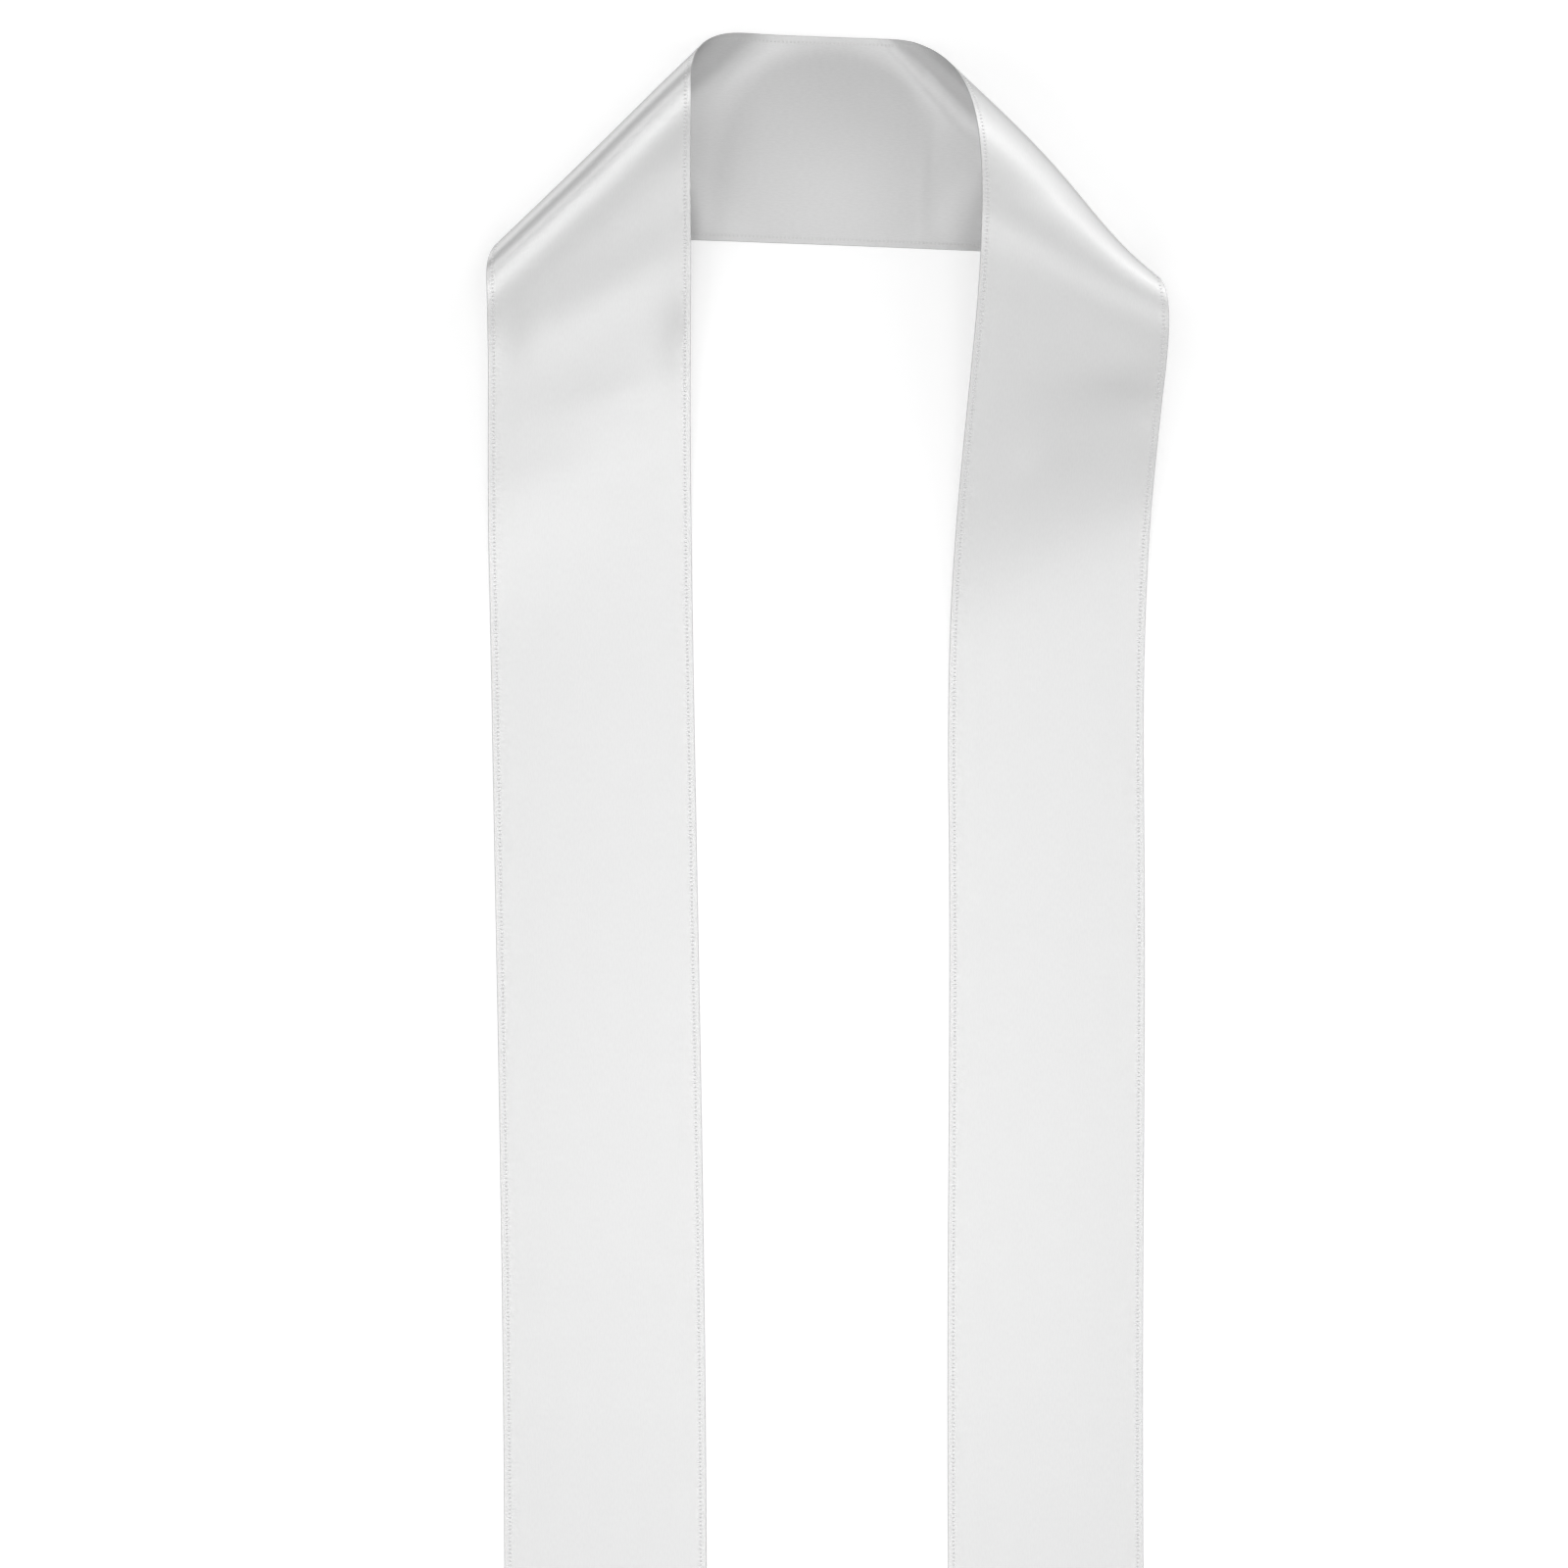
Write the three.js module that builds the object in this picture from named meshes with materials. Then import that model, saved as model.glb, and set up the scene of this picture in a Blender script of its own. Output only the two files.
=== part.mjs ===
// Satin stole: one length of white satin ribbon, laid flat with a soft fold at each shoulder.
// Millimetres. +X is to the right of the layout, +Y up it to the neck, +Z up from the surface.
import * as THREE from "three";

// Driving sizes of the ribbon
const RIBBON_WIDTH = 102;
const RIBBON_LENGTH = 1829;
const CLOTH = 1;
const HEM_LENGTH = 13;
const HEM_THICKNESS = 1.8;
const NECK_TILT = 2.2;

// Width against the nominal: the neck lies a little stretched, the right arm a little gathered
const NECK_STRETCH = 1.025;
const STRETCH_CHANGE = { from: 60, to: 220 };

// The lie of each half, from the middle of the neck to the arm's end.
// at: mm along the ribbon, slant: degrees that the bend's line leans from square across,
// curl: degrees of bend per mm, veer: degrees of turn in the cloth's own plane per mm.
const LEFT = {
  sign: -1,
  armStretch: 1.0,
  landing: { from: 230, to: 410 },
  bends: [
    { at: 0, slant: 0, curl: 0, veer: 0 },
    { at: 35, slant: 25, curl: 0, veer: 0 },
    { at: 74, slant: 45, curl: 0, veer: 0 },
    { at: 97, slant: 44, curl: 2.55, veer: 0 },
    { at: 121, slant: 44, curl: 1.92, veer: 0 },
    { at: 140, slant: 43, curl: 2.77, veer: 0 },
    { at: 152, slant: 42.2, curl: 3.76, veer: 0 },
    { at: 165, slant: 42.2, curl: 1.54, veer: 0 },
    { at: 178, slant: 42.3, curl: -0.41, veer: 0 },
    { at: 205, slant: 42.1, curl: 0, veer: -0.0173 },
    { at: 298, slant: 42.4, curl: -0.174, veer: 0.0103 },
    { at: 407, slant: 12, curl: 0, veer: 0.002 },
    { at: 467, slant: 0, curl: 0, veer: 0.001 },
    { at: 700, slant: 0, curl: 0, veer: -0.0034 },
  ],
};
const RIGHT = {
  sign: 1,
  armStretch: 0.965,
  landing: { from: 225, to: 422 },
  bends: [
    { at: 0, slant: 0, curl: 0, veer: 0 },
    { at: 30, slant: 24, curl: 0, veer: 0 },
    { at: 59, slant: 40, curl: 0, veer: 0 },
    { at: 60, slant: 40, curl: 0.46, veer: 0 },
    { at: 75, slant: 47, curl: 1.99, veer: 0 },
    { at: 106, slant: 51, curl: 1.66, veer: 0 },
    { at: 131, slant: 43, curl: 1.69, veer: -0.028 },
    { at: 222, slant: 7, curl: 0, veer: 0.017 },
    { at: 330, slant: -26, curl: -0.215, veer: -0.026 },
    { at: 422, slant: -26, curl: 0, veer: -0.026 },
    { at: 482, slant: 0, curl: 0, veer: 0.01 },
    { at: 700, slant: 0, curl: 0, veer: -0.0042 },
  ],
};

// Soft dents and swells of the cloth. at and across: the middle, in mm along the half and from its
// middle line (plus is the neck's upper edge and the arm's inner one), long and wide: half sizes,
// lean: degrees that its long side is turned, move: how far the middle goes, in mm along X, Y, Z.
const SWELLS = [
  { side: LEFT, at: 0, across: 2, long: 45, wide: 52, lean: 0, move: [0, 0, 4] },
  { side: RIGHT, at: 0, across: 2, long: 45, wide: 52, lean: 0, move: [0, 0, 4] },
  { side: LEFT, at: 52, across: -30, long: 35, wide: 9, lean: 90, move: [0, 0, 1] },
  { side: LEFT, at: 214, across: 0, long: 70, wide: 15, lean: 118, move: [0, 0, -1.2] },
  { side: LEFT, at: 233, across: 50, long: 20, wide: 10, lean: 0, move: [0, 0, -1.5] },
  { side: LEFT, at: 262, across: 15, long: 30, wide: 10, lean: 100, move: [0, 0, -0.6] },
  { side: LEFT, at: 302, across: -5, long: 45, wide: 12, lean: 95, move: [0, 0, -0.6] },
  { side: RIGHT, at: 160, across: -50, long: 42, wide: 60, lean: 0, move: [-5, -5, 0] },
  { side: RIGHT, at: 190, across: -5, long: 70, wide: 13, lean: -55, move: [0, 0, 0.4] },
  { side: RIGHT, at: 248, across: -46, long: 36, wide: 14, lean: 90, move: [0, 0, -1.8] },
];

// The neck's dish: flat inside an arch about this centre, rising gently outside it
const DISH = { x: -5, y: -5, radius: 49, rise: 5, over: 34, fadesBelow: 45 };

// Mesh spacing
const STEPS = 914;
const COLUMNS = 12;
const MOST_TURN = 6;
const MOST_SLANT = 5;
const LONGEST_ROW = { rippled: 6, plain: 24 };
const RIPPLED_TO = 320;

const HALF_LENGTH = RIBBON_LENGTH / 2;
const STEP = HALF_LENGTH / STEPS;
const radians = THREE.MathUtils.degToRad;

function smooth(t) {
  const x = THREE.MathUtils.clamp(t, 0, 1);
  return x * x * (3 - 2 * x);
}

// One named column of a bends table at a distance along the ribbon
function column(bends, name, at) {
  const next = bends.findIndex((row) => row.at > at);
  if (next === -1) return bends[bends.length - 1][name];
  const a = bends[next - 1];
  const b = bends[next];
  return a[name] + ((b[name] - a[name]) * (at - a.at)) / (b.at - a.at);
}

function stretchAt(side, at) {
  const t = smooth((at - STRETCH_CHANGE.from) / (STRETCH_CHANGE.to - STRETCH_CHANGE.from));
  return NECK_STRETCH + (side.armStretch - NECK_STRETCH) * t;
}

// Walks along one half and bends it about one slanted line after another, as real cloth bends.
// settle adds to the fold's and the landing's bend, as shares, and to the landing's slant in degrees.
function walk(side, settle) {
  const frame = new THREE.Matrix4().makeRotationZ(-side.sign * radians(NECK_TILT));
  const place = new THREE.Vector3();
  const rows = [];
  for (let i = 0; i <= STEPS; i += 1) {
    const at = i * STEP;
    const { from, to } = side.landing;
    const landing = smooth((at - from) / 60) * smooth((to + 60 - at) / 60);
    const slant = column(side.bends, "slant", at) + landing * settle.slant;
    const share = at < from ? settle.fold : settle.landing;
    const curl = column(side.bends, "curl", at) * (1 + share);
    const veer = column(side.bends, "veer", at);
    const lean = Math.tan(radians(slant));
    rows.push({ at, lean, slant, curl, frame: frame.clone(), place: place.clone() });
    const line = new THREE.Vector3(-lean, 1, 0).normalize();
    frame.multiply(new THREE.Matrix4().makeRotationAxis(line, -radians(curl) * STEP));
    frame.multiply(new THREE.Matrix4().makeRotationZ(radians(veer) * STEP));
    place.add(new THREE.Vector3(STEP, 0, 0).applyMatrix4(frame));
  }
  return rows;
}

// How far the arm's end is from lying flat: the tilt along it, the tilt across it and its height
function lift(rows) {
  const end = rows[rows.length - 1];
  const landed = rows.find((row) => row.at > 480);
  const m = end.frame.elements;
  return new THREE.Vector3(m[2] * 100, m[6] * 100, landed.place.z);
}

// Newton's method on the three corrections, until the arm lies flat on the surface
function settled(side) {
  const names = ["fold", "landing", "slant"];
  const nudge = { fold: 0.001, landing: 0.001, slant: 0.05 };
  const settle = { fold: 0, landing: 0, slant: 0 };
  for (let round = 0; round < 8; round += 1) {
    const off = lift(walk(side, settle));
    const columns = names.map((name) => {
      const moved = { ...settle, [name]: settle[name] + nudge[name] };
      return lift(walk(side, moved)).sub(off).divideScalar(nudge[name]);
    });
    const slope = new THREE.Matrix3().setFromMatrix4(new THREE.Matrix4().makeBasis(...columns));
    const change = off.applyMatrix3(slope.invert());
    names.forEach((name, i) => {
      settle[name] -= change.getComponent(i);
    });
  }
  return walk(side, settle);
}

function thicknessAt(at) {
  return at > HALF_LENGTH - HEM_LENGTH ? HEM_THICKNESS : CLOTH;
}

// Keeps a row wherever the cloth has bent, fanned, thickened or run on far enough since the last one
function thinned(rows) {
  const kept = [rows[0]];
  let turned = 0;
  rows.forEach((row, i) => {
    const last = kept[kept.length - 1];
    const next = rows[i + 1];
    turned += Math.abs(row.curl) * STEP;
    const bent = turned >= MOST_TURN || Math.abs(row.slant - last.slant) >= MOST_SLANT;
    const hem = !next || thicknessAt(next.at) !== thicknessAt(row.at) || thicknessAt(last.at) !== thicknessAt(row.at);
    const longest = row.at < RIPPLED_TO ? LONGEST_ROW.rippled : LONGEST_ROW.plain;
    if (bent || hem || row.at - last.at >= longest) {
      kept.push(row);
      turned = 0;
    }
  });
  return kept;
}

// How far the swells move a place on one half
function swell(side, at, across) {
  const total = new THREE.Vector3();
  SWELLS.filter((one) => one.side === side).forEach((one) => {
    const turn = radians(one.lean);
    const along = (at - one.at) * Math.cos(turn) + (across - one.across) * Math.sin(turn);
    const over = (across - one.across) * Math.cos(turn) - (at - one.at) * Math.sin(turn);
    const share = Math.exp(-((along / one.long) ** 2) - (over / one.wide) ** 2);
    total.addScaledVector(new THREE.Vector3(...one.move), share);
  });
  return total;
}

// The height that the neck's dish adds
function dish(side, at, across) {
  const away = Math.hypot(side.sign * at - DISH.x, across - DISH.y) - DISH.radius;
  const upper = smooth((across - DISH.y + DISH.fadesBelow) / DISH.fadesBelow);
  return DISH.rise * smooth(away / DISH.over) * upper * (1 - smooth((at - 90) / 60));
}

// The upper and lower points of the cloth on one row of one half
function wallPoints(side, row, share) {
  const across = (share - 0.5) * RIBBON_WIDTH * stretchAt(side, row.at);
  const at = row.at - across * row.lean;
  const thickness = thicknessAt(row.at);
  const middle = new THREE.Vector3(-across * row.lean, across, 0).applyMatrix4(row.frame).add(row.place);
  middle.x *= side.sign;
  middle.z += thickness / 2 + dish(side, at, across);
  middle.add(swell(side, at, across));
  const normal = new THREE.Vector3().setFromMatrixColumn(row.frame, 2).multiplyScalar(thickness / 2);
  normal.x *= side.sign;
  return [middle.clone().add(normal), middle.clone().sub(normal)];
}

// Closed wall between the grid of upper points and the grid of lower points
function wallGeometry(lines) {
  const rowCount = lines.length;
  const columnCount = lines[0].length;
  const positions = lines.flat(2).flatMap((point) => point.toArray());
  const upper = (i, j) => 2 * (i * columnCount + j);
  const lower = (i, j) => upper(i, j) + 1;
  const faces = [];
  const quad = (a, b, c, d) => faces.push(a, b, c, a, c, d);
  for (let i = 0; i + 1 < rowCount; i += 1) {
    for (let j = 0; j + 1 < columnCount; j += 1) {
      quad(upper(i, j), upper(i + 1, j), upper(i + 1, j + 1), upper(i, j + 1));
      quad(lower(i, j), lower(i, j + 1), lower(i + 1, j + 1), lower(i + 1, j));
    }
    const last = columnCount - 1;
    quad(lower(i, 0), lower(i + 1, 0), upper(i + 1, 0), upper(i, 0));
    quad(lower(i, last), upper(i, last), upper(i + 1, last), lower(i + 1, last));
  }
  for (let j = 0; j + 1 < columnCount; j += 1) {
    const last = rowCount - 1;
    quad(lower(0, j), upper(0, j), upper(0, j + 1), lower(0, j + 1));
    quad(lower(last, j), lower(last, j + 1), upper(last, j + 1), upper(last, j));
  }
  const geometry = new THREE.BufferGeometry();
  geometry.setAttribute("position", new THREE.Float32BufferAttribute(positions, 3));
  geometry.setIndex(faces);
  geometry.computeVertexNormals();
  return geometry;
}

// The whole ribbon, from the left arm's end through the neck to the right arm's end
function satinBand() {
  const left = thinned(settled(LEFT)).slice(1).reverse();
  const right = thinned(settled(RIGHT));
  const shares = Array.from({ length: COLUMNS + 1 }, (_, j) => j / COLUMNS);
  const lines = [
    ...left.map((row) => shares.map((share) => wallPoints(LEFT, row, share))),
    ...right.map((row) => shares.map((share) => wallPoints(RIGHT, row, share))),
  ];
  const satin = new THREE.MeshStandardMaterial({ color: 0xf4f4f6, roughness: 0.4, metalness: 0 });
  const mesh = new THREE.Mesh(wallGeometry(lines), satin);
  mesh.name = "satin_band";
  return mesh;
}

const stole = new THREE.Group();
const band = satinBand();
stole.add(band);

// The origin is the middle of the part's footprint, on the surface that it lies on
const box = new THREE.Box3().setFromObject(band);
band.position.set(-(box.min.x + box.max.x) / 2, -(box.min.y + box.max.y) / 2, -box.min.z);

export default stole;
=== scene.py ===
"""White satin stole, laid flat with a soft fold at each shoulder, seen from straight above.

Lengths in the tables and functions are millimetres; Blender's objects get metres.
"""
import math

import bpy
import numpy as np
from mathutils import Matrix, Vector


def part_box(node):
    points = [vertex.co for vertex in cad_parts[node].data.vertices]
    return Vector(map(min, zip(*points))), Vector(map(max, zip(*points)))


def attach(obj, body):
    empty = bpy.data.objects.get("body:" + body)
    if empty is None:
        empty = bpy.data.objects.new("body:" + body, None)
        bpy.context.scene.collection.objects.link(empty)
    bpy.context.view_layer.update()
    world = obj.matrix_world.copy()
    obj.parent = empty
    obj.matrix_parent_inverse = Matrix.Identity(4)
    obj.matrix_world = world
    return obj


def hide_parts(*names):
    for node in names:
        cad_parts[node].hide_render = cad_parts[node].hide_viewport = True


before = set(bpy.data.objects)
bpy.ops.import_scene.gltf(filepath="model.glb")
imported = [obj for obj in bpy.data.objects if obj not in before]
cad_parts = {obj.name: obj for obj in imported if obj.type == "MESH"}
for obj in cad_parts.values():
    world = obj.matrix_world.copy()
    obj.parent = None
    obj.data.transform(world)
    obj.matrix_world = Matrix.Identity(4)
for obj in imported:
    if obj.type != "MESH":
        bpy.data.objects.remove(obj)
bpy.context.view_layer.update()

# Driving sizes of the ribbon
RIBBON_WIDTH = 102
RIBBON_LENGTH = 1829
CLOTH = 0.4
HEM_LENGTH = 13
HEM_THICKNESS = 1.0
HEM_SLOPE = 0.6
NECK_TILT = 2.2

# Width against the nominal: the neck lies a little stretched, the right arm a little gathered
NECK_STRETCH = 1.025
STRETCH_FROM = 60
STRETCH_TO = 220

# The bend that lands an arm fades in and out over this length, and the arm is down at this place
LANDING_FADE = 60
LANDED_AT = 480

# The lie of each half, from the middle of the neck to the arm's end. Columns of bends:
# mm along the ribbon, degrees that the bend's line leans, degrees of bend per mm,
# degrees of turn in the cloth's own plane per mm.
LEFT = {
    "sign": -1,
    "arm_stretch": 1.0,
    "landing": (230, 410),
    "bends": [
        (0, 0, 0, 0),
        (35, 25, 0, 0),
        (74, 45, 0, 0),
        (97, 44, 2.55, 0),
        (121, 44, 1.92, 0),
        (140, 43, 2.77, 0),
        (152, 42.2, 3.76, 0),
        (165, 42.2, 1.54, 0),
        (178, 42.3, -0.41, 0),
        (205, 42.1, 0, -0.0173),
        (298, 42.4, -0.174, 0.0103),
        (407, 12, 0, 0.002),
        (467, 0, 0, 0.001),
        (700, 0, 0, -0.0034),
    ],
}
RIGHT = {
    "sign": 1,
    "arm_stretch": 0.965,
    "landing": (225, 422),
    "bends": [
        (0, 0, 0, 0),
        (30, 24, 0, 0),
        (59, 40, 0, 0),
        (60, 40, 0.46, 0),
        (75, 47, 1.99, 0),
        (106, 51, 1.66, 0),
        (131, 43, 1.69, -0.028),
        (222, 7, 0, 0.017),
        (330, -26, -0.215, -0.026),
        (422, -26, 0, -0.026),
        (482, 0, 0, 0.01),
        (700, 0, 0, -0.0042),
    ],
}

# Soft dents and swells. Columns: half, mm along it, mm from its middle line (plus is the neck's
# upper edge and the arm's inner one), half sizes along and across, degrees turned, and the move
# in X, Y, Z.
SWELLS = [
    ("left", 0, 2, 45, 52, 0, (0, 0, 4)),
    ("right", 0, 2, 45, 52, 0, (0, 0, 4)),
    ("left", 52, -30, 35, 9, 90, (0, 0, 1)),
    ("left", 214, 0, 70, 15, 118, (0, 0, -1.2)),
    ("left", 233, 50, 20, 10, 0, (0, 0, -1.5)),
    ("left", 234, -42, 15, 9, 0, (0, 0, 0.5)),
    ("left", 262, 15, 30, 10, 100, (0, 0, -0.6)),
    ("left", 302, -5, 45, 12, 95, (0, 0, -0.6)),
    ("right", 160, -50, 42, 60, 0, (-5, -5, 0)),
    ("right", 190, -5, 70, 13, -55, (0, 0, 0.4)),
    ("right", 222, -46, 40, 14, 90, (0, 0, 0.3)),
    ("right", 248, -46, 36, 14, 90, (0, 0, -1.8)),
    ("right", 278, 8, 15, 9, 90, (0, 0, 0.3)),
    ("right", 44, -15, 45, 3, 90, (0, 0, 0.35)),
    ("right", 50, 34, 18, 2.5, -45, (0, 0, -0.5)),
]

# The neck's dish: flat inside an arch about this centre, rising gently outside it, and fading
# out below the centre and towards the arms
DISH = {
    "x": -5,
    "y": -5,
    "radius": 49,
    "rise": 5,
    "over": 34,
    "fades_below": 45,
    "fades_from": 90,
    "fades_over": 60,
}

# Selvedge and stitches. The edge line of points keeps the shading flat up to the edge.
SELVEDGE_WIDTH = 3
EDGE_CORD_RADIUS = 0.22
EDGE_CORD_SIDES = 6
EDGE_LINE = 0.08
TICK_THICKNESS = 0.56
TICK_LENGTH = 1.5
TICK_WIDTH = 0.8
TICK_PITCH = 2
TICK_IN = 2.7
STITCH_LENGTH = 2.0
STITCH_WIDTH = 0.45
STITCH_THICKNESS = HEM_THICKNESS + 0.2
STITCH_PITCH = 2.6
STITCH_IN = 10.5

# The levels of a pillow-shaped bar: share of its thickness from its middle, and share of its size
PILLOW = [(-0.5, 0.55), (-0.2, 1), (0.2, 1), (0.5, 0.55)]

# Weave: mm between warp floats and between weft turns, slubs per mm along and across, and metres
# of relief
WARP_PITCH = 0.22
WEFT_PITCH = 0.36
SLUBS = (0.35, 1.5, 1)
SLUB_SHARE = 0.25
WEAVE_RELIEF = 0.00003

# Looks of the two faces of the cloth: darkest and lightest grey, and the shader's values
SATIN_FACE = {"greys": (0.8, 0.84), "gloss": 0.6, "roughness": 0.27, "drawn": 0.4, "weave": 0.25}
REVERSE = {"greys": (0.69, 0.73), "gloss": 0.5, "roughness": 0.3, "drawn": 0.3, "weave": 0.3}
SPECULAR_TINT = 0.35

# Threads: darkest and lightest grey, twists per metre and metres of relief
SELVEDGE_GREYS = (0.63, 0.73)
# The edge thread's greys are kept dark as painted shade along the cloth's edges, on its cords and
# edge faces
EDGE_SHADE_GREYS = (0.42, 0.52)
TWIST = 2500
TWIST_RELIEF = 0.0001

# Mesh spacing
STEPS = 914
CREASED_TO = 70
FOLDED_TO = 500
HEM_MARGIN = 3
COLUMNS = 42

# The photograph's frame: one pixel in mm, the neck's middle in pixels, and the frame's middle
MM_PER_PIXEL = 0.4964
NECK_PIXEL = (855, 145)
FRAME_PIXELS = 1600
LENS = 85
SENSOR = 36

# Rings of soft round lights on a dome over the stole. Columns: degrees up from the floor, size in
# metres, watts of the lights at 0, 45, 90 ... 315 degrees around from the right.
LIT_PLACE = (0, 0.1, 0.02)
DOME_RADIUS = 3
LIGHT_RINGS = [
    (10, 1.4, (6, 6, 6, 0, 6, 0, 0, 0)),
    (29, 1.4, (6, 3.5, 0.5, 0.5, 6, 5, 6, 0)),
    (47, 1.3, (3.5, 2.5, 0, 3.5, 3, 5, 5, 1.9)),
    (62, 1.0, (0.5, 0, 0, 0.5, 0, 0, 1.5, 0.5)),
    (75, 0.8, (2, 1.9, 0.9, 1.9, 1.9, 1.5, 1.8, 1.4)),
]
WORLD_LIGHT = 0.31
FLOOR_GREY = 0.92
FLOOR_GLOW = 0.29
FLOOR_HALF = 20000

HALF_LENGTH = RIBBON_LENGTH / 2
STEP = HALF_LENGTH / STEPS
MM = 0.001


def smooth(t):
    t = np.clip(t, 0, 1)
    return t * t * (3 - 2 * t)


def column(bends, index, at):
    rows = np.array(bends, float)
    return np.interp(at, rows[:, 0], rows[:, index])


def turned(axis, angle):
    """The 3 x 3 matrix that turns by an angle about a unit axis."""
    x, y, z = axis
    cross = np.array([[0, -z, y], [z, 0, -x], [-y, x, 0]])
    return np.eye(3) + math.sin(angle) * cross + (1 - math.cos(angle)) * cross @ cross


def walk(side, settle):
    """Walks along one half and bends it about one slanted line after another."""
    at = np.arange(STEPS + 1) * STEP
    start, end = side["landing"]
    fade = LANDING_FADE
    landing = smooth((at - start) / fade) * smooth((end + fade - at) / fade)
    slant = column(side["bends"], 1, at) + landing * settle[2]
    curl = column(side["bends"], 2, at) * (1 + np.where(at < start, settle[0], settle[1]))
    veer = column(side["bends"], 3, at)
    lean = np.tan(np.radians(slant))
    matrix = turned((0, 0, 1), -side["sign"] * math.radians(NECK_TILT))
    place = np.zeros(3)
    frames = []
    places = []
    for i in range(STEPS + 1):
        frames.append(matrix)
        places.append(place)
        line = np.array([-lean[i], 1, 0]) / math.hypot(lean[i], 1)
        bend = turned(line, -math.radians(curl[i]) * STEP)
        veering = turned((0, 0, 1), math.radians(veer[i]) * STEP)
        matrix = matrix @ bend @ veering
        place = place + matrix[:, 0] * STEP
    return {"at": at, "lean": lean, "frames": np.array(frames), "places": np.array(places)}


def lift(rows):
    """How far the arm's end is from lying flat: its two tilts and its height."""
    end = rows["frames"][-1]
    landed = int(np.argmax(rows["at"] > LANDED_AT))
    return np.array([end[2, 0] * 100, end[2, 1] * 100, rows["places"][landed, 2]])


def settled(side):
    """Newton's method on three small corrections, until the arm lies flat."""
    nudge = np.array([0.001, 0.001, 0.05])
    settle = np.zeros(3)
    for _ in range(6):
        off = lift(walk(side, settle))
        slopes = []
        for k, one in enumerate(np.eye(3)):
            slopes.append((lift(walk(side, settle + nudge * one)) - off) / nudge[k])
        settle = settle - np.linalg.solve(np.array(slopes).T, off)
    return walk(side, settle)


def stretch_at(side, at):
    share = smooth((at - STRETCH_FROM) / (STRETCH_TO - STRETCH_FROM))
    return NECK_STRETCH + (side["arm_stretch"] - NECK_STRETCH) * share


def thickness_at(at):
    hem = smooth((at - HALF_LENGTH + HEM_LENGTH) / HEM_SLOPE)
    return CLOTH + (HEM_THICKNESS - CLOTH) * hem


def swell(name, at, across):
    """How far the swells move each place on one half."""
    total = np.zeros(at.shape + (3,))
    for half, middle, beside, long, wide, lean, move in SWELLS:
        if half == name:
            turn = math.radians(lean)
            along = (at - middle) * math.cos(turn) + (across - beside) * math.sin(turn)
            over = (across - beside) * math.cos(turn) - (at - middle) * math.sin(turn)
            bump = np.exp(-((along / long) ** 2) - (over / wide) ** 2)
            total += bump[..., None] * np.array(move)
    return total


def dish(side, at, across):
    """How high the neck's dish lifts each place on one half."""
    away = np.hypot(side["sign"] * at - DISH["x"], across - DISH["y"]) - DISH["radius"]
    upper = smooth((across - DISH["y"] + DISH["fades_below"]) / DISH["fades_below"])
    near = 1 - smooth((at - DISH["fades_from"]) / DISH["fades_over"])
    return DISH["rise"] * smooth(away / DISH["over"]) * upper * near


def kept_rows(at):
    """Every row in the neck and the hem, every second in the folds, every fourth on the arms."""
    kept = []
    for i in range(STEPS + 1):
        if at[i] < CREASED_TO or at[i] > HALF_LENGTH - HEM_LENGTH - HEM_MARGIN:
            kept.append(i)
        elif i % (2 if at[i] < FOLDED_TO else 4) == 0:
            kept.append(i)
    return kept


def half_cloth(name, side, shares):
    """The middle of the cloth and its normals, on a grid of rows along one half."""
    rows = settled(side)
    kept = kept_rows(rows["at"])
    at_row = rows["at"][kept][:, None]
    lean = rows["lean"][kept][:, None]
    frames = rows["frames"][kept]
    across = (shares[None, :] - 0.5) * RIBBON_WIDTH * stretch_at(side, at_row)
    at = at_row - across * lean
    local = np.stack([-across * lean, across, across * 0], -1)
    middle = np.einsum("nij,nkj->nki", frames, local) + rows["places"][kept][:, None, :]
    normal = np.repeat(frames[:, None, :, 2], len(shares), 1)
    thickness = np.repeat(thickness_at(at_row), len(shares), 1)
    middle[..., 0] *= side["sign"]
    normal[..., 0] *= side["sign"]
    middle[..., 2] += np.maximum(thickness, TICK_THICKNESS) / 2 + dish(side, at, across)
    middle += swell(name, at, across)
    return {
        "middle": middle,
        "normal": normal,
        "thickness": thickness,
        "along": side["sign"] * at,
        "across": across,
    }


def whole_cloth(shares):
    """Both halves as one grid, from the left arm's end to the right arm's, on the CAD box."""
    left = half_cloth("left", LEFT, shares)
    right = half_cloth("right", RIGHT, shares)
    cloth = {key: np.concatenate([left[key][:0:-1], right[key]]) for key in left}
    wall = cloth["normal"] * cloth["thickness"][..., None] / 2
    both = np.concatenate([cloth["middle"] + wall, cloth["middle"] - wall]).reshape(-1, 3)
    low, high = (np.array(corner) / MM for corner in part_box("satin_band"))
    shift = (low + high) / 2 - (both.min(0) + both.max(0)) / 2
    cloth["middle"] += [shift[0], shift[1], 0]
    cloth["shift"] = shift
    return cloth


def new_object(name, vertices, faces):
    mesh = bpy.data.meshes.new(name)
    mesh.from_pydata((np.asarray(vertices) * MM).tolist(), [], faces)
    obj = bpy.data.objects.new(name, mesh)
    bpy.context.scene.collection.objects.link(obj)
    return obj


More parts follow.
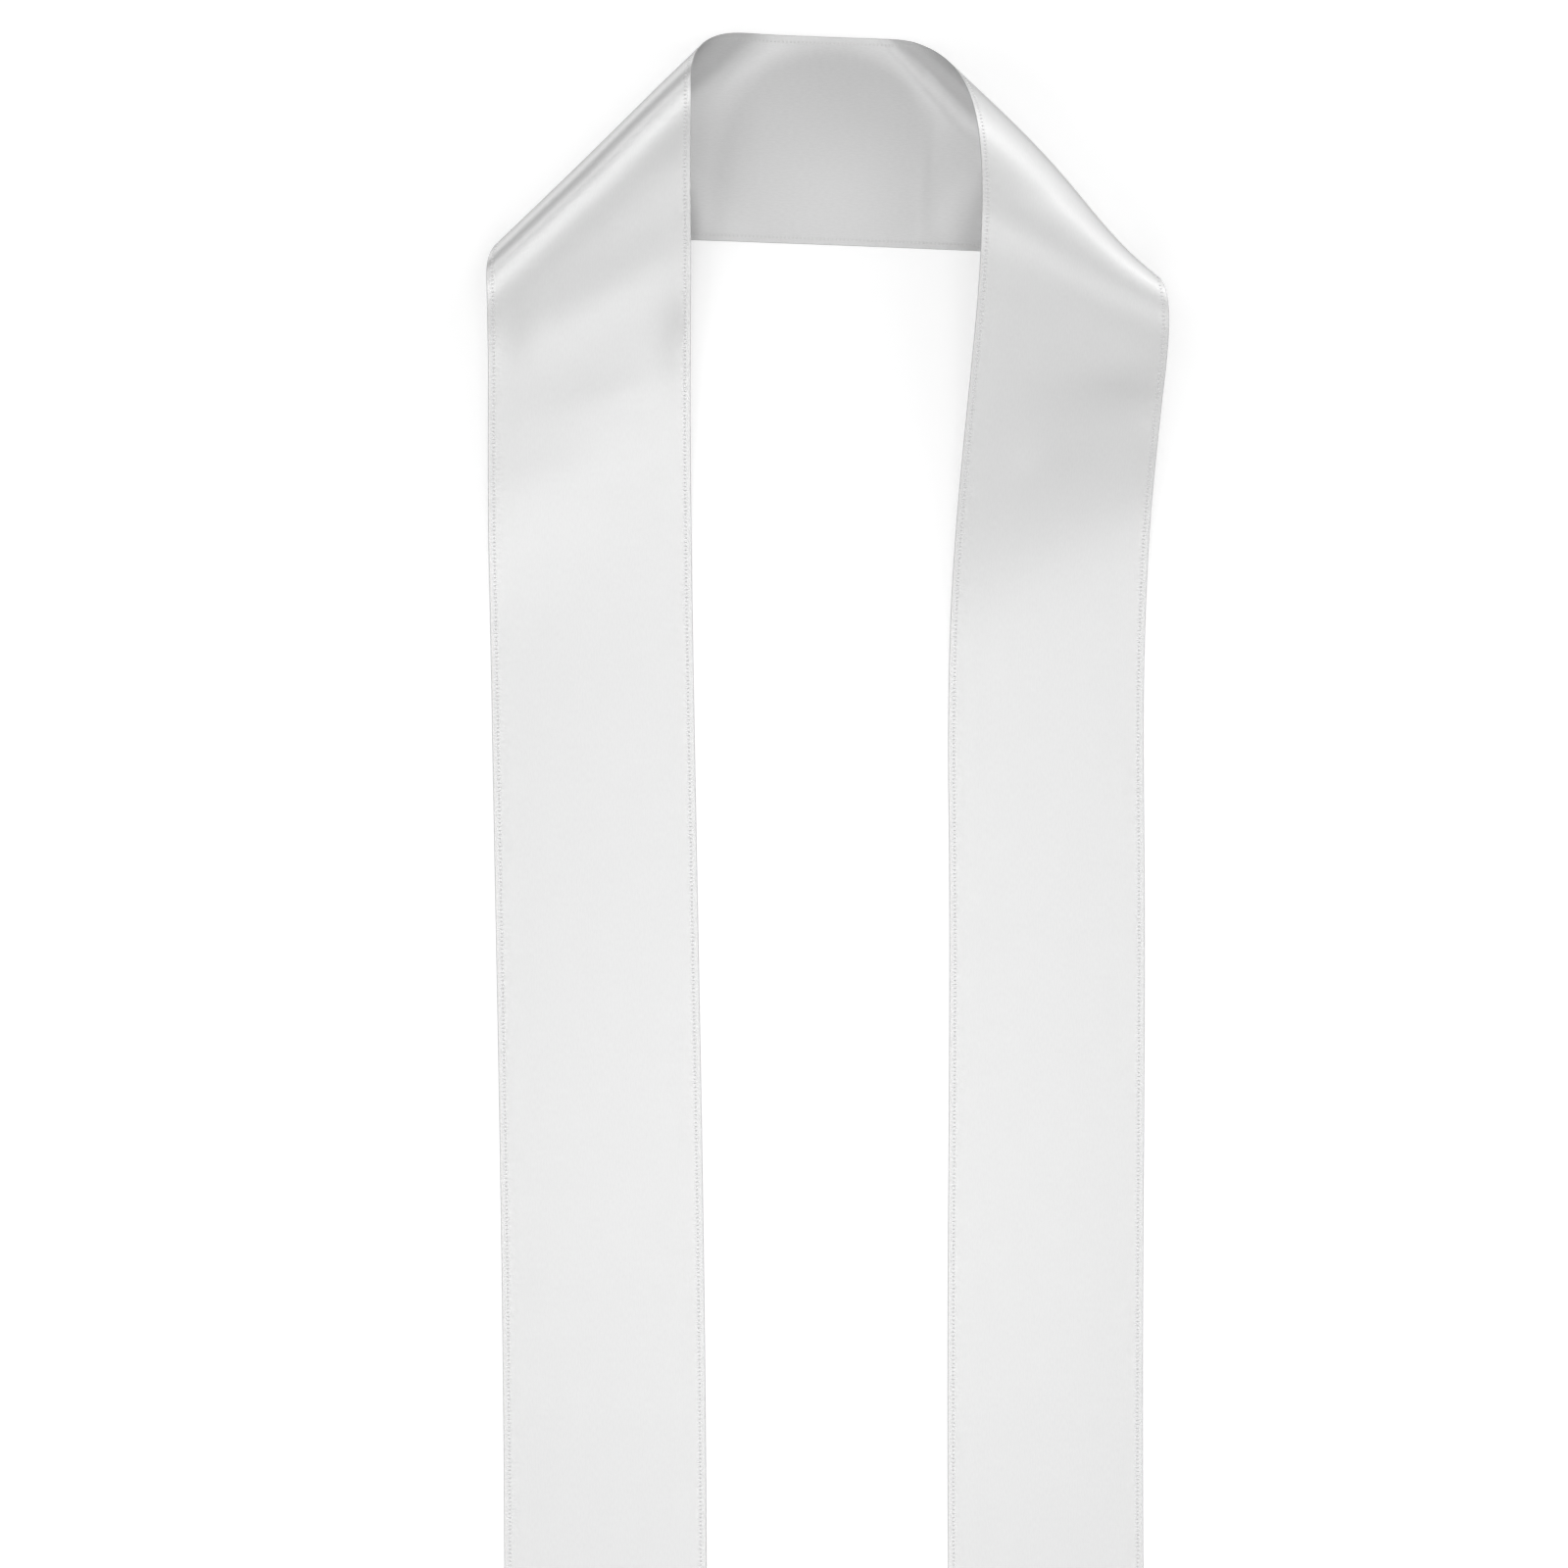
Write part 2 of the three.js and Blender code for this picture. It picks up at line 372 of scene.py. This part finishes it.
def cloth_faces(row_count, column_count):
    """Quads of the closed shell, each with its material: 0 satin face, 1 reverse, 2 selvedge edge
    faces, whose dark thread is painted shade along the edges.
    """
    faces = []
    kinds = []

    def upper(i, j):
        return 2 * (i * column_count + j)

    def quad(kind, a, b, c, d):
        faces.append((a, b, c, d))
        kinds.append(kind)

    last = column_count - 1
    for i in range(row_count - 1):
        for j in range(last):
            a, b, c, d = upper(i, j), upper(i + 1, j), upper(i + 1, j + 1), upper(i, j + 1)
            quad(1, a, b, c, d)
            quad(0, a + 1, d + 1, c + 1, b + 1)
        quad(2, upper(i, 0) + 1, upper(i + 1, 0) + 1, upper(i + 1, 0), upper(i, 0))
        quad(2, upper(i, last) + 1, upper(i, last), upper(i + 1, last), upper(i + 1, last) + 1)
    for j in range(last):
        end = row_count - 1
        quad(2, upper(0, j) + 1, upper(0, j), upper(0, j + 1), upper(0, j + 1) + 1)
        quad(2, upper(end, j) + 1, upper(end, j + 1) + 1, upper(end, j + 1), upper(end, j))
    return faces, kinds


def satin_cloth(cloth):
    """The ribbon as one closed shell, with its length and width in mm as UVs."""
    wall = cloth["normal"] * cloth["thickness"][..., None] / 2
    points = np.stack([cloth["middle"] + wall, cloth["middle"] - wall], 2)
    row_count, column_count = points.shape[:2]
    faces, kinds = cloth_faces(row_count, column_count)
    obj = new_object("satin_cloth", points.reshape(-1, 3), faces)
    mesh = obj.data
    place = np.stack([cloth["along"], cloth["across"]], -1)
    place = np.repeat(place[:, :, None, :], 2, 2).reshape(-1, 2)
    corners = np.empty(len(mesh.loops), int)
    mesh.loops.foreach_get("vertex_index", corners)
    layer = mesh.uv_layers.new(name="ribbon")
    layer.data.foreach_set("uv", place[corners].ravel())
    mesh.polygons.foreach_set("material_index", kinds)
    mesh.polygons.foreach_set("use_smooth", [kind < 2 for kind in kinds])
    return obj


def along_line(cloth, share_index, pitch):
    """Evenly spaced places on one lengthwise line of the grid: points, headings and normals."""
    points = cloth["middle"][:, share_index]
    normals = cloth["normal"][:, share_index]
    length = np.concatenate([[0], np.cumsum(np.linalg.norm(np.diff(points, axis=0), axis=1))])
    at = np.arange(pitch / 2, length[-1], pitch)
    place = np.stack([np.interp(at, length, points[:, k]) for k in range(3)], 1)
    normal = np.stack([np.interp(at, length, normals[:, k]) for k in range(3)], 1)
    normal /= np.linalg.norm(normal, axis=1)[:, None]
    heading = np.gradient(place, axis=0)
    heading /= np.linalg.norm(heading, axis=1)[:, None]
    return place, heading, normal


def bars(name, places, long_ways, normals, long, wide, thick):
    """Small pillow-shaped bars that go through the cloth and stand proud on both its faces."""
    vertices = []
    faces = []
    for place, way, normal in zip(places, long_ways, normals):
        wide_way = np.cross(normal, way)
        first = len(vertices)
        for height, shrink in PILLOW:
            middle = place + normal * height * thick
            for a, b in ((-0.5, -0.5), (0.5, -0.5), (0.5, 0.5), (-0.5, 0.5)):
                corner = middle + way * a * long * shrink + wide_way * b * wide * shrink
                vertices.append(corner)
        for level in range(len(PILLOW) - 1):
            for k in range(4):
                a = first + 4 * level + k
                b = first + 4 * level + (k + 1) % 4
                faces.append((a, b, b + 4, a + 4))
        top = len(vertices) - 4
        faces.append((first + 3, first + 2, first + 1, first))
        faces.append((top, top + 1, top + 2, top + 3))
    obj = new_object(name, vertices, faces)
    obj.data.shade_smooth()
    return obj


def edge_cords(cloth):
    """The outermost warp of each edge, as a thin cord along the whole ribbon."""
    sides = EDGE_CORD_SIDES
    vertices = []
    faces = []
    for index, outwards in ((0, -1), (cloth["middle"].shape[1] - 1, 1)):
        points = cloth["middle"][:, index]
        normals = cloth["normal"][:, index]
        heading = np.gradient(points, axis=0)
        heading /= np.linalg.norm(heading, axis=1)[:, None]
        beside = np.cross(heading, normals) * -outwards
        first = len(vertices)
        for point, normal, way in zip(points, normals, beside):
            for k in range(sides):
                angle = 2 * math.pi * k / sides
                out = normal * math.cos(angle) + way * math.sin(angle)
                vertices.append(point + out * EDGE_CORD_RADIUS)
        for i in range(len(points) - 1):
            for k in range(sides):
                a = first + i * sides + k
                b = first + i * sides + (k + 1) % sides
                faces.append((a, b, b + sides, a + sides))
        faces.append(tuple(first + k for k in range(sides)))
        end = first + (len(points) - 1) * sides
        faces.append(tuple(end + k for k in reversed(range(sides))))
    obj = new_object("selvedge_cords", vertices, faces)
    obj.data.shade_smooth()
    return obj


def selvedge_ticks(cloth, shares):
    """The ladder of weft turns just inside each edge."""
    inside = TICK_IN / RIBBON_WIDTH
    found = []
    for share in (inside, 1 - inside):
        index = int(np.argmin(np.abs(shares - share)))
        place, heading, normal = along_line(cloth, index, TICK_PITCH)
        found.append((place, np.cross(normal, heading), normal))
    place, way, normal = (np.concatenate(parts) for parts in zip(*found))
    return bars("selvedge_ticks", place, way, normal, TICK_LENGTH, TICK_WIDTH, TICK_THICKNESS)


def hem_stitches(cloth):
    """A row of lockstitches across each hem."""
    found = []
    for end in (0, -1):
        inside = np.abs(np.abs(cloth["along"][:, 0]) - (HALF_LENGTH - STITCH_IN))
        half = slice(0, len(inside) // 2) if end == 0 else slice(len(inside) // 2, None)
        row = half.indices(len(inside))[0] + int(np.argmin(inside[half]))
        points = cloth["middle"][row]
        count = int(RIBBON_WIDTH / STITCH_PITCH) - 1
        share = (np.arange(count) + 1) / (count + 1)
        grid = np.linspace(0, 1, len(points))
        place = np.stack([np.interp(share, grid, points[:, k]) for k in range(3)], 1)
        side_to_side = points[-1] - points[0]
        way = np.repeat([side_to_side / np.linalg.norm(side_to_side)], count, 0)
        normal = np.repeat([cloth["normal"][row, 0]], count, 0)
        found.append((place, way, normal))
    place, way, normal = (np.concatenate(parts) for parts in zip(*found))
    return bars(
        "hem_stitches", place, way, normal, STITCH_LENGTH, STITCH_WIDTH, STITCH_THICKNESS
    )


def thread_waves(nodes, links, place, axis, pitch):
    """A wave of bands along one axis of the ribbon's own mm coordinates."""
    wave = nodes.new("ShaderNodeTexWave")
    wave.wave_type = "BANDS"
    wave.bands_direction = axis
    wave.inputs["Scale"].default_value = 2 * math.pi / 20 / pitch
    wave.inputs["Distortion"].default_value = 0.6
    wave.inputs["Detail"].default_value = 1
    links.new(place.outputs["UV"], wave.inputs["Vector"])
    return wave


def grey(value):
    return (value, value, value, 1)


def cloth_material(name, look):
    """Woven satin: warp floats, weft turns and slubs as bump, and a gloss drawn along the warp."""
    material = bpy.data.materials.new(name)
    material.use_nodes = True
    nodes, links = material.node_tree.nodes, material.node_tree.links
    shader = nodes["Principled BSDF"]
    shader.inputs["Metallic"].default_value = look["gloss"]
    shader.inputs["Roughness"].default_value = look["roughness"]
    shader.inputs["Anisotropic"].default_value = look["drawn"]
    shader.inputs["Specular Tint"].default_value = grey(SPECULAR_TINT)

    place = nodes.new("ShaderNodeUVMap")
    place.uv_map = "ribbon"
    tangent = nodes.new("ShaderNodeTangent")
    tangent.direction_type = "UV_MAP"
    tangent.uv_map = "ribbon"
    links.new(tangent.outputs["Tangent"], shader.inputs["Tangent"])

    # Slubs: noise drawn out along the warp
    stretch = nodes.new("ShaderNodeMapping")
    stretch.inputs["Scale"].default_value = SLUBS
    links.new(place.outputs["UV"], stretch.inputs["Vector"])
    slub = nodes.new("ShaderNodeTexNoise")
    slub.inputs["Scale"].default_value = 1
    slub.inputs["Detail"].default_value = 5
    links.new(stretch.outputs["Vector"], slub.inputs["Vector"])

    ramp = nodes.new("ShaderNodeValToRGB")
    for element, position, value in zip(ramp.color_ramp.elements, (0.3, 0.7), look["greys"]):
        element.position = position
        element.color = grey(value)
    links.new(slub.outputs["Fac"], ramp.inputs["Fac"])
    links.new(ramp.outputs["Color"], shader.inputs["Base Color"])

    warp = thread_waves(nodes, links, place, "Y", WARP_PITCH)
    weft = thread_waves(nodes, links, place, "X", WEFT_PITCH)
    threads = nodes.new("ShaderNodeMath")
    threads.operation = "ADD"
    links.new(warp.outputs["Fac"], threads.inputs[0])
    links.new(weft.outputs["Fac"], threads.inputs[1])
    relief = nodes.new("ShaderNodeMath")
    relief.operation = "MULTIPLY_ADD"
    relief.inputs[1].default_value = SLUB_SHARE
    links.new(slub.outputs["Fac"], relief.inputs[0])
    links.new(threads.outputs["Value"], relief.inputs[2])
    bump = nodes.new("ShaderNodeBump")
    bump.inputs["Strength"].default_value = look["weave"]
    bump.inputs["Distance"].default_value = WEAVE_RELIEF
    links.new(relief.outputs["Value"], bump.inputs["Height"])
    links.new(bump.outputs["Normal"], shader.inputs["Normal"])
    return material


def thread_material(name, greys):
    """Matt sewing and selvedge thread, with a fine twist."""
    material = bpy.data.materials.new(name)
    material.use_nodes = True
    nodes, links = material.node_tree.nodes, material.node_tree.links
    shader = nodes["Principled BSDF"]
    shader.inputs["Roughness"].default_value = 0.6
    shader.inputs["Specular IOR Level"].default_value = 0.2
    place = nodes.new("ShaderNodeTexCoord")
    twist = nodes.new("ShaderNodeTexNoise")
    twist.inputs["Scale"].default_value = TWIST
    twist.inputs["Detail"].default_value = 2
    links.new(place.outputs["Object"], twist.inputs["Vector"])
    ramp = nodes.new("ShaderNodeValToRGB")
    for element, value in zip(ramp.color_ramp.elements, greys):
        element.color = grey(value)
    links.new(twist.outputs["Fac"], ramp.inputs["Fac"])
    links.new(ramp.outputs["Color"], shader.inputs["Base Color"])
    bump = nodes.new("ShaderNodeBump")
    bump.inputs["Strength"].default_value = 0.4
    bump.inputs["Distance"].default_value = TWIST_RELIEF
    links.new(twist.outputs["Fac"], bump.inputs["Height"])
    links.new(bump.outputs["Normal"], shader.inputs["Normal"])
    return material


def floor_material():
    material = bpy.data.materials.new("floor_white")
    material.use_nodes = True
    shader = material.node_tree.nodes["Principled BSDF"]
    shader.inputs["Base Color"].default_value = grey(FLOOR_GREY)
    shader.inputs["Roughness"].default_value = 0.9
    shader.inputs["Specular IOR Level"].default_value = 0.1
    shader.inputs["Emission Color"].default_value = grey(1)
    shader.inputs["Emission Strength"].default_value = FLOOR_GLOW
    return material


def floor():
    half = FLOOR_HALF
    corners = [(-half, -half, 0), (half, -half, 0), (half, half, 0), (-half, half, 0)]
    obj = new_object("floor", corners, [(0, 1, 2, 3)])
    obj.data.materials.append(floor_material())


def soft_light(azimuth, height, size, watts):
    """A soft round light on the dome, turned to the middle of the stole."""
    data = bpy.data.lights.new(f"soft_{azimuth}_{height}", "AREA")
    data.shape = "DISK"
    data.size = size
    data.energy = watts
    obj = bpy.data.objects.new(data.name, data)
    around, up = math.radians(azimuth), math.radians(height)
    way = Vector((math.cos(around) * math.cos(up), math.sin(around) * math.cos(up), math.sin(up)))
    obj.location = Vector(LIT_PLACE) + way * DOME_RADIUS
    obj.rotation_euler = way.to_track_quat("Z", "Y").to_euler()
    bpy.context.scene.collection.objects.link(obj)


def studio():
    world = bpy.data.worlds.new("studio")
    world.use_nodes = True
    background = world.node_tree.nodes["Background"]
    background.inputs["Color"].default_value = grey(1)
    background.inputs["Strength"].default_value = WORLD_LIGHT
    bpy.context.scene.world = world
    for height, size, ring in LIGHT_RINGS:
        for i, watts in enumerate(ring):
            if watts:
                soft_light(45 * i, height, size, watts)
    bpy.context.scene.view_settings.view_transform = "Standard"


def camera(neck):
    """Straight above, with the neck's middle at its place in the photograph's frame."""
    data = bpy.data.cameras.new("camera")
    data.lens = LENS
    data.sensor_width = SENSOR
    obj = bpy.data.objects.new("camera", data)
    bpy.context.scene.collection.objects.link(obj)
    width = FRAME_PIXELS * MM_PER_PIXEL
    middle_x = neck[0] + (FRAME_PIXELS / 2 - NECK_PIXEL[0]) * MM_PER_PIXEL
    middle_y = neck[1] + (NECK_PIXEL[1] - FRAME_PIXELS / 2) * MM_PER_PIXEL
    obj.location = (middle_x * MM, middle_y * MM, width * LENS / SENSOR * MM)
    bpy.context.scene.camera = obj


def dress(obj, *materials):
    for material in materials:
        obj.data.materials.append(material)
    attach(obj, "root")
    return obj


def main():
    edge = SELVEDGE_WIDTH / RIBBON_WIDTH
    tick = TICK_IN / RIBBON_WIDTH
    line = EDGE_LINE / RIBBON_WIDTH
    inner = np.linspace(edge, 1 - edge, COLUMNS - 3)
    shares = np.unique(np.concatenate([[0, line, tick], inner, [1 - tick, 1 - line, 1]]))
    cloth = whole_cloth(shares)

    face = cloth_material("satin_face", SATIN_FACE)
    reverse = cloth_material("satin_reverse", REVERSE)
    thread = thread_material("selvedge_thread", SELVEDGE_GREYS)
    # The edge thread is dark as painted shade along the cloth's edges: it goes on the edge cords
    # and on the cloth's edge faces
    shaded_edge_thread = thread_material("shaded_edge_thread", EDGE_SHADE_GREYS)

    satin = dress(satin_cloth(cloth), face, reverse, shaded_edge_thread)
    ticks = dress(selvedge_ticks(cloth, shares), thread)
    cords = dress(edge_cords(cloth), shaded_edge_thread)
    stitches = dress(hem_stitches(cloth), thread)
    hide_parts("satin_band")
    floor()
    studio()
    camera(cloth["shift"][:2])


main()
